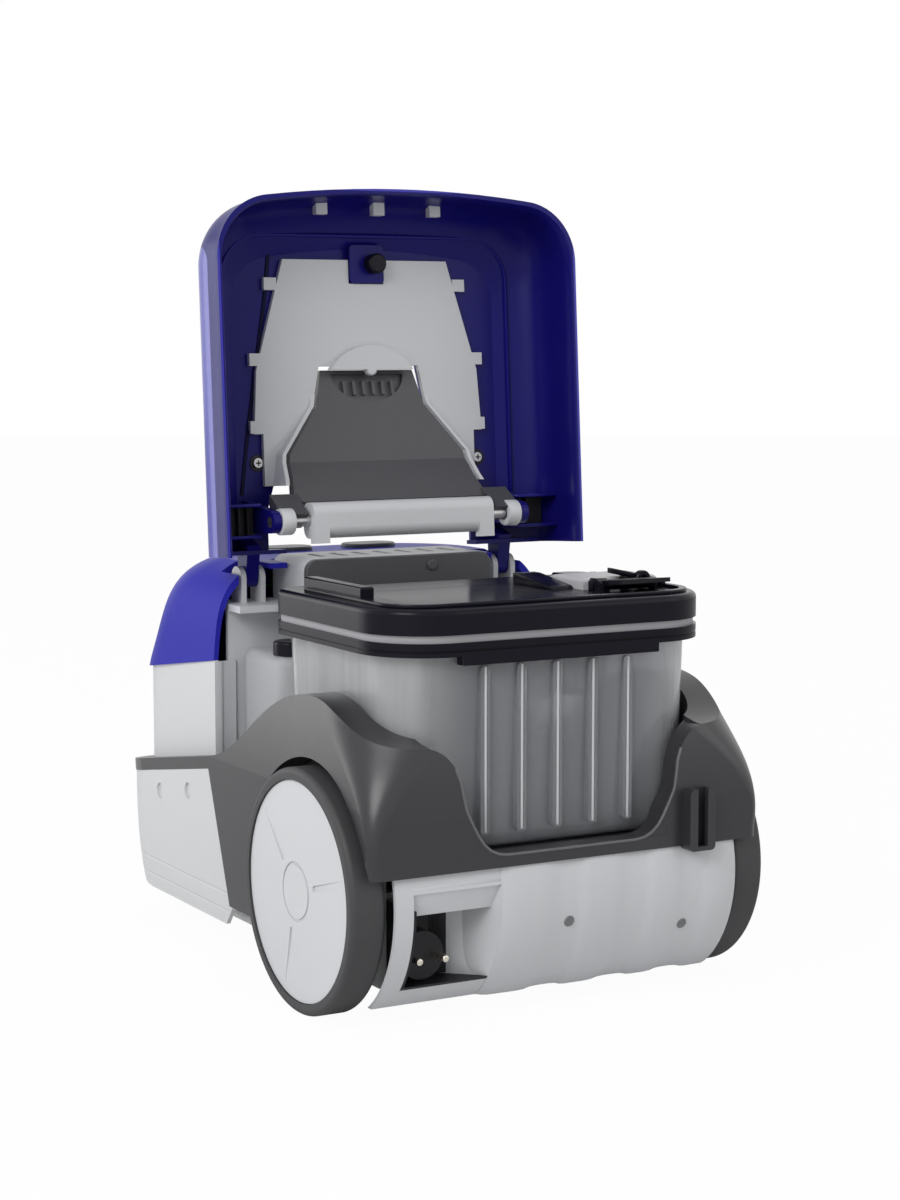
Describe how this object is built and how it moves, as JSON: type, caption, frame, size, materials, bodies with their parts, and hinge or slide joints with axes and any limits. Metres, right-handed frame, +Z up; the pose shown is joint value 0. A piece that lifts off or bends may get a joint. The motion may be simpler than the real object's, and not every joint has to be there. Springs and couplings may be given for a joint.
{
  "type": "canister vacuum cleaner",
  "caption": "Wet-and-dry canister vacuum with a water filter: wheeled body, blue hinged top lid stored open, carry handle, lift-out clear dirty-water tank, parked plug and a front hose socket.",
  "frame": {"origin": "on the floor under the middle of the machine's bounding box", "axes": "+X the machine's left, +Y its rear where the plug and tank are, +Z up; stored with the top lid open"},
  "size_m": [0.318, 0.486, 0.5497],
  "materials": {
    "blue_plastic": "glossy moulded shell",
    "light_plastic": "fine satin moulding",
    "dark_plastic": "semi-gloss moulding",
    "black_plastic": "glossy moulding",
    "clear_plastic": "smoky clear moulding",
    "window_plastic": "clear pane over a dark tank",
    "tyre_rubber": "matt rubber",
    "seal_rubber": "soft pale seal",
    "steel": "turned and plated",
    "brass": "bright pins",
    "motor_metal": "cast can",
    "board": "circuit board",
    "filter": "pleated filter block"
  },
  "bodies": {
    "chassis": {"base_pan": "light_plastic", "front_skirt": "light_plastic", "front_housing": "light_plastic", "bulkhead": "light_plastic", "rear_panel": "light_plastic", "hose_socket": "light_plastic", "air_box": "light_plastic", "front_cowl": "blue_plastic", "bumper": "dark_plastic", "filter_cover": "dark_plastic", "parking_slot": "dark_plastic", "inlet_duct": "dark_plastic", "suction_duct": "dark_plastic", "fan_housing": "dark_plastic", "water_pump": "dark_plastic", "axle_caps": "dark_plastic", "plug_garage": "black_plastic", "clean_tank": "clear_plastic", "rear_axle": "steel", "hinge_pins": "steel", "panel_screws": "steel", "motor_can": "motor_metal", "control_board": "board", "exhaust_filter": "filter"},
    "lid": {"lid_shell": "blue_plastic", "lid_liner": "light_plastic", "liner_screws": "steel", "lid_buffer": "black_plastic", "lid_clips": "light_plastic", "handle_beam": "light_plastic", "handle_rod": "steel", "handle_catch": "light_plastic"},
    "handle": {"carry_handle": "dark_plastic"},
    "tank": {"dirty_tank": "clear_plastic", "tank_band": "black_plastic", "tank_seal": "seal_rubber"},
    "tank_cover": {"tank_lid": "black_plastic", "tank_window": "window_plastic", "inlet_hood": "black_plastic", "tank_grip": "black_plastic", "float_cage": "black_plastic"},
    "latch": {"tank_latch": "black_plastic"},
    "float": {"float_ball": "light_plastic"},
    "wheel_left": {"left_rim": "light_plastic", "left_tyre": "tyre_rubber", "left_hubcap": "light_plastic"},
    "wheel_right": {"right_rim": "light_plastic", "right_tyre": "tyre_rubber", "right_hubcap": "light_plastic"},
    "castor": {"castor_fork": "dark_plastic", "castor_pin": "steel"},
    "castor_roller": {"castor_wheel": "tyre_rubber"},
    "reel": {"reel_drum": "light_plastic"},
    "rotor": {"rotor_shaft": "steel", "fan_impeller": "dark_plastic"},
    "button_power": {"power_button": "dark_plastic"},
    "button_rewind": {"rewind_button": "dark_plastic"},
    "cap": {"clean_tank_cap": "black_plastic"},
    "plug": {"plug_body": "black_plastic", "plug_pins": "brass"}
  },
  "joints": [
    {"name": "lid_hinge", "type": "hinge", "parent": "chassis", "child": "lid", "pos_m": [0, -0.044, 0.27], "axis": [1, 0, 0], "range_deg": [-88, 0]},
    {"name": "handle_pivot", "type": "hinge", "parent": "lid", "child": "handle", "pos_m": [0, -0.0065, 0.31301], "axis": [1, 0, 0], "range_deg": [0, 20]},
    {"name": "tank_lift", "type": "slide", "parent": "chassis", "child": "tank", "axis": [0, 0, 1], "range_m": [0, 0.2]},
    {"name": "tank_cover_lift", "type": "slide", "parent": "tank", "child": "tank_cover", "axis": [0, 0, 1], "range_m": [0, 0.09]},
    {"name": "latch_hinge", "type": "hinge", "parent": "tank_cover", "child": "latch", "pos_m": [-0.078, 0.176, 0.2765], "axis": [1, 0, 0], "range_deg": [0, 60]},
    {"name": "float_rise", "type": "slide", "parent": "tank_cover", "child": "float", "axis": [0, 0, 1], "range_m": [0, 0.03]},
    {"name": "left_wheel_roll", "type": "hinge", "parent": "chassis", "child": "wheel_left", "pos_m": [0.1465, 0.145, 0.082], "axis": [1, 0, 0], "continuous": true},
    {"name": "right_wheel_roll", "type": "hinge", "parent": "chassis", "child": "wheel_right", "pos_m": [-0.1465, 0.145, 0.082], "axis": [1, 0, 0], "continuous": true},
    {"name": "castor_swivel", "type": "hinge", "parent": "chassis", "child": "castor", "pos_m": [0, -0.165, 0.05], "axis": [0, 0, 1], "continuous": true},
    {"name": "castor_roll", "type": "hinge", "parent": "castor", "child": "castor_roller", "pos_m": [0, -0.153, 0.018], "axis": [1, 0, 0], "continuous": true},
    {"name": "reel_spin", "type": "hinge", "parent": "chassis", "child": "reel", "pos_m": [0, 0.095, 0.05], "axis": [0, 0, 1], "continuous": true},
    {"name": "rotor_spin", "type": "hinge", "parent": "chassis", "child": "rotor", "pos_m": [0.01, -0.12, 0.19], "axis": [0, 1, 0], "continuous": true},
    {"name": "power_press", "type": "slide", "parent": "chassis", "child": "button_power", "axis": [0, 0, -1], "range_m": [0, 0.004], "stiffness_N_per_m": 600},
    {"name": "rewind_press", "type": "slide", "parent": "chassis", "child": "button_rewind", "axis": [0, 0, -1], "range_m": [0, 0.004], "stiffness_N_per_m": 600},
    {"name": "cap_pull", "type": "slide", "parent": "chassis", "child": "cap", "axis": [0, 0, 1], "range_m": [0, 0.03]},
    {"name": "plug_pull", "type": "slide", "parent": "chassis", "child": "plug", "axis": [0, 1, 0], "range_m": [0, 0.06]}
  ]
}
